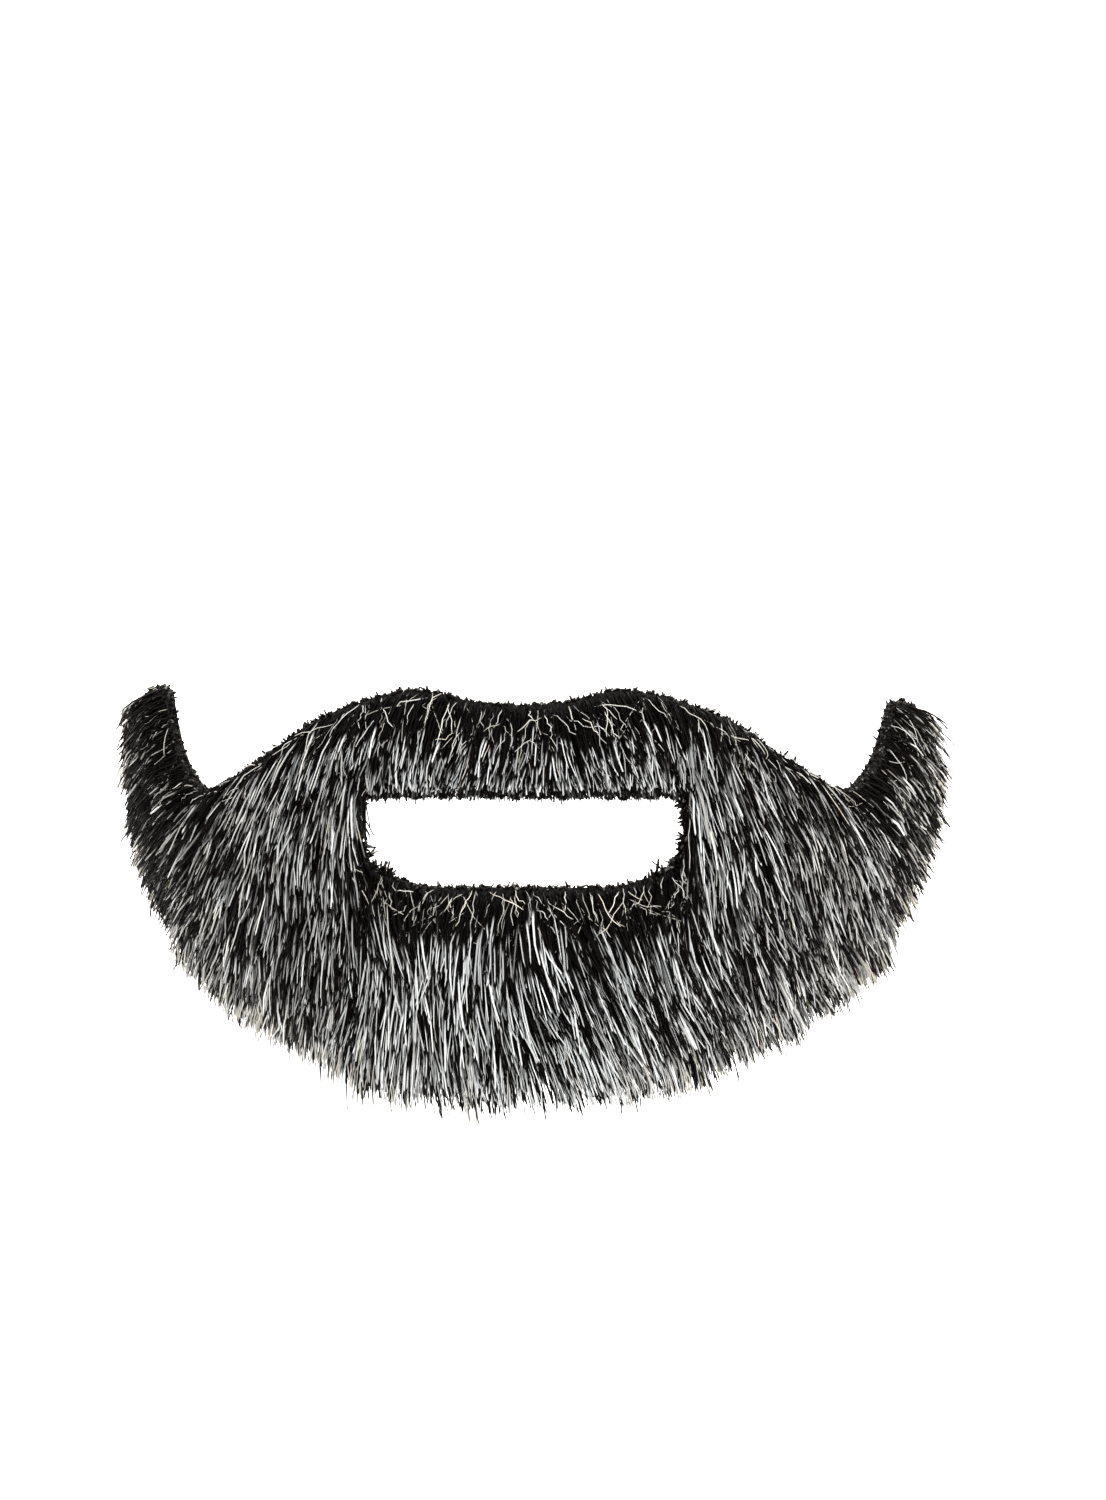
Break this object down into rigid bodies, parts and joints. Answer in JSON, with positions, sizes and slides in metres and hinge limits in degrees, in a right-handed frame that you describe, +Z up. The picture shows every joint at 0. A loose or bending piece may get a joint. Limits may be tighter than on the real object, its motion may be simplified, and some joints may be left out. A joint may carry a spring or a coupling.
{
  "type": "fake beard",
  "caption": "Stick-on full beard of long-pile hair on a curved cloth, with a moustache above an open mouth, cheeks and raised sideburns.",
  "frame": {"origin": "back of the cloth at the middle of the moustache's top edge, where it sticks on the upper lip", "axes": "+Z up, the front looks along -Y, +X is the wearer's left"},
  "size_m": [0.1456, 0.0823, 0.0691],
  "materials": {
    "backing_cloth": "black knitted pile ground, matt",
    "beard_hair": "black fibres with frosted silver-white tips, soft sheen"
  },
  "bodies": {
    "root": {"backing_cloth": "backing_cloth", "moustache_hair": "beard_hair", "chin_hair": "beard_hair", "cheek_hair_left": "beard_hair", "cheek_hair_right": "beard_hair", "sideburn_hair_left": "beard_hair", "sideburn_hair_right": "beard_hair"}
  },
  "joints": []
}
